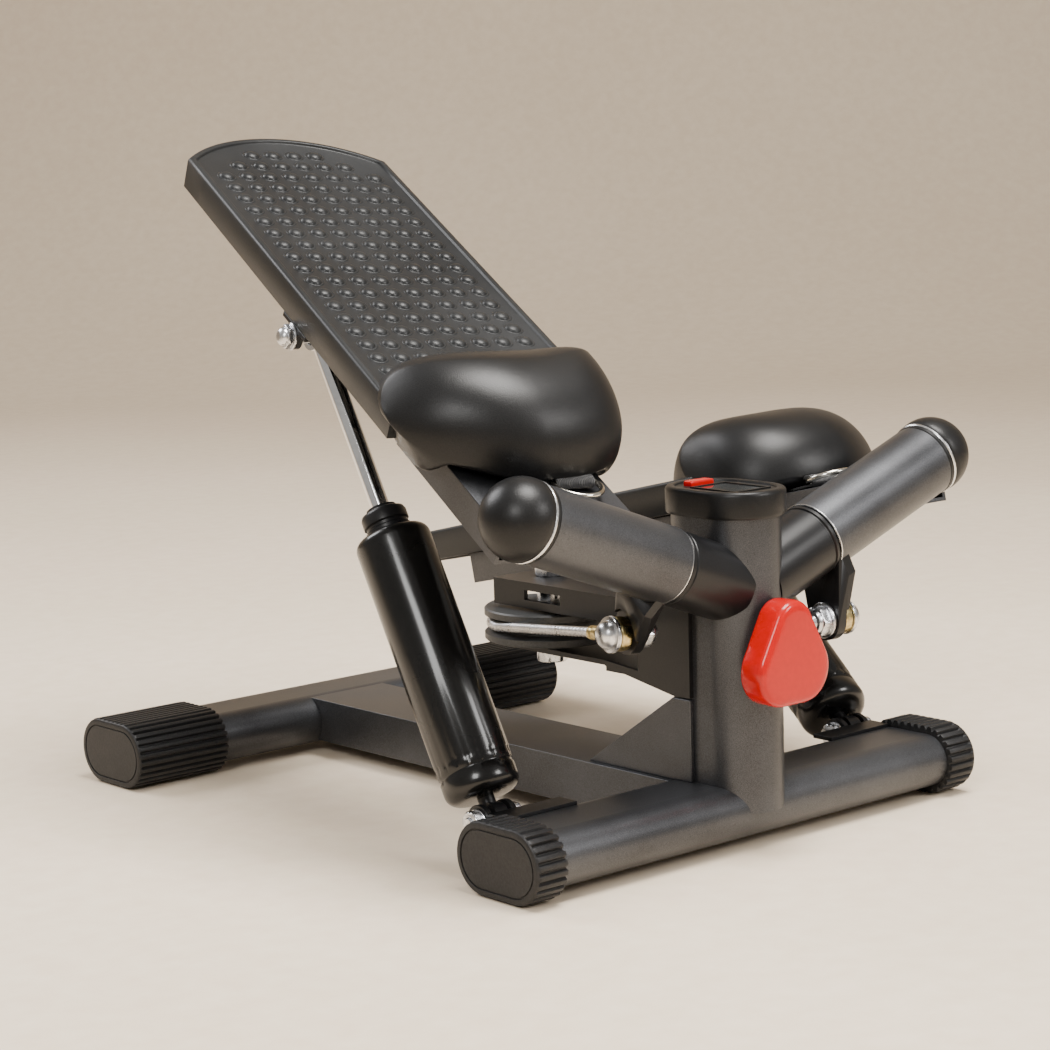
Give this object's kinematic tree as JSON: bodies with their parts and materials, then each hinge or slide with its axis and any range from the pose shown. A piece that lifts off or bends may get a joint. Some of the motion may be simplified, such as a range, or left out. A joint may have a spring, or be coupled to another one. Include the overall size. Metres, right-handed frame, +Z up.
{
  "type": "stepper",
  "caption": "Two-pedal stepper with inclined pivots, oil dampers and a balancing cable round a pulley, on an H-shaped tube base.",
  "frame": {"origin": "on the ground, under the middle of the front cross tube", "axes": "+X to the machine's right, +Y to its rear along the spine tube, +Z up"},
  "size_m": [0.401, 0.4703, 0.4061],
  "materials": {
    "frame_paint": "dark grey metallic powder coat",
    "black_paint": "satin black powder coat",
    "damper_paint": "gloss black enamel",
    "moulded_black": "fine-grained satin moulding",
    "tread_black": "satin moulding with raised bumps",
    "cap_black": "ribbed satin moulding",
    "bush_plastic": "natural nylon",
    "pulley_plastic": "satin moulding",
    "red_gloss": "gloss red moulding",
    "window": "dark display window",
    "zinc": "bright zinc plate",
    "yellow_zinc": "yellow zinc plate",
    "rod_chrome": "hard chrome",
    "ring_nickel": "nickel plate",
    "wire_rope": "galvanised wire rope",
    "webbing": "woven nylon webbing"
  },
  "bodies": {
    "frame": {"front_tube": "frame_paint", "rear_tube": "frame_paint", "spine_tube": "frame_paint", "post": "frame_paint", "post_gussets": "frame_paint", "pulley_bracket": "black_paint", "front_end_caps": "cap_black", "rear_end_caps": "cap_black", "pivot_shafts": "zinc", "pivot_collars": "black_paint", "shaft_nuts": "zinc", "damper_brackets": "black_paint", "damper_bracket_bolts": "zinc", "pulley_bolt": "zinc", "cable": "wire_rope", "console_housing": "moulded_black", "console_lens": "window"},
    "pulley": {"pulley_wheel": "pulley_plastic", "pulley_bush": "zinc"},
    "knob": {"knob": "red_gloss", "knob_screw": "zinc"},
    "console_button": {"console_button": "red_gloss"},
    "left_pedal": {"sleeve_left": "frame_paint", "bushes_left": "bush_plastic", "dome_cap_left": "moulded_black", "arm_left": "frame_paint", "lug_left": "black_paint", "lug_bolt_left": "zinc", "tread_left": "tread_black", "toe_guard_left": "moulded_black", "damper_ear_left": "black_paint", "damper_pin_left": "zinc", "strap_loop_left": "webbing"},
    "left_cable_end": {"cable_eye_left": "yellow_zinc"},
    "left_ring": {"d_ring_left": "ring_nickel"},
    "left_damper": {"damper_body_left": "damper_paint", "damper_gland_left": "black_paint", "damper_eye_left": "black_paint"},
    "left_damper_rod": {"damper_rod_left": "rod_chrome", "damper_piston_left": "zinc", "rod_eye_left": "zinc"},
    "right_pedal": {"sleeve_right": "frame_paint", "bushes_right": "bush_plastic", "dome_cap_right": "moulded_black", "arm_right": "frame_paint", "lug_right": "black_paint", "lug_bolt_right": "zinc", "tread_right": "tread_black", "toe_guard_right": "moulded_black", "damper_ear_right": "black_paint", "damper_pin_right": "zinc", "strap_loop_right": "webbing"},
    "right_cable_end": {"cable_eye_right": "yellow_zinc"},
    "right_ring": {"d_ring_right": "ring_nickel"},
    "right_damper": {"damper_body_right": "damper_paint", "damper_gland_right": "black_paint", "damper_eye_right": "black_paint"},
    "right_damper_rod": {"damper_rod_right": "rod_chrome", "damper_piston_right": "zinc", "rod_eye_right": "zinc"}
  },
  "joints": [
    {"name": "left_pedal", "type": "hinge", "parent": "frame", "child": "left_pedal", "pos_m": [0, -0.011, 0.147], "axis": [-0.9397, 0, 0.342], "range_deg": [0, 41.5]},
    {"name": "right_pedal", "type": "hinge", "parent": "frame", "child": "right_pedal", "pos_m": [0, -0.011, 0.147], "axis": [0.9397, 0, 0.342], "range_deg": [-0.5, 42]},
    {"name": "pulley_turn", "type": "hinge", "parent": "frame", "child": "pulley", "pos_m": [0, 0.15, 0], "axis": [0, 0, 1], "range_deg": [-1, 52.27]},
    {"name": "left_cable_end", "type": "hinge", "parent": "left_pedal", "child": "left_cable_end", "pos_m": [-0.06968, 0.01585, 0.12836], "axis": [0.9811, -0.1863, -0.0518], "range_deg": [-1, 43.12]},
    {"name": "right_cable_end", "type": "hinge", "parent": "right_pedal", "child": "right_cable_end", "pos_m": [0.07222, -0.01829, 0.12139], "axis": [-0.9987, 0.0506, -0.0035], "range_deg": [-1, 43.12]},
    {"name": "left_damper", "type": "hinge", "parent": "frame", "child": "left_damper", "pos_m": [-0.145, 0.04, 0.0325], "axis": [-0.8598, -0.4192, 0.2916], "range_deg": [-0.5, 29.68]},
    {"name": "left_damper_rod", "type": "slide", "parent": "left_damper", "child": "left_damper_rod", "axis": [0.0374, 0.5177, 0.8547], "range_m": [-0.10243, 0.001]},
    {"name": "right_damper", "type": "hinge", "parent": "frame", "child": "right_damper", "pos_m": [0.145, 0.04, 0.0325], "axis": [0.8598, -0.4192, 0.2916], "range_deg": [-0.5, 29.68]},
    {"name": "right_damper_rod", "type": "slide", "parent": "right_damper", "child": "right_damper_rod", "axis": [0.2157, 0.8157, 0.5368], "range_m": [-0.001, 0.10243]},
    {"name": "left_ring", "type": "hinge", "parent": "left_pedal", "child": "left_ring", "pos_m": [-0.1031, 0.0137, 0.21734], "axis": [-0.9811, 0.1863, 0.0518], "range_deg": [-5, 60]},
    {"name": "right_ring", "type": "hinge", "parent": "right_pedal", "child": "right_ring", "pos_m": [0.11134, 0.02793, 0.19469], "axis": [-0.9987, 0.0506, -0.0035], "range_deg": [-5, 60]},
    {"name": "knob_turn", "type": "hinge", "parent": "frame", "child": "knob", "pos_m": [0, -0.034, 0.115], "axis": [0, 1, 0], "range_deg": [-180, 180]},
    {"name": "button_press", "type": "slide", "parent": "frame", "child": "console_button", "axis": [0, 0, -1], "range_m": [0, 0.002], "stiffness_N_per_m": 600, "springref_m": -0.001}
  ],
  "couplings": [
    {"joint": "right_pedal", "follows": "left_pedal", "ratio": 1},
    {"joint": "pulley_turn", "follows": "left_pedal", "ratio": 1.2354},
    {"joint": "left_cable_end", "follows": "left_pedal", "ratio": 1.0149},
    {"joint": "right_cable_end", "follows": "left_pedal", "ratio": 1.0149},
    {"joint": "left_damper", "follows": "left_pedal", "ratio": 0.70323},
    {"joint": "left_damper_rod", "follows": "left_pedal", "m_per_rad": -0.14004},
    {"joint": "right_damper", "follows": "left_pedal", "ratio": 0.70323},
    {"joint": "right_damper_rod", "follows": "left_pedal", "m_per_rad": 0.14004}
  ]
}
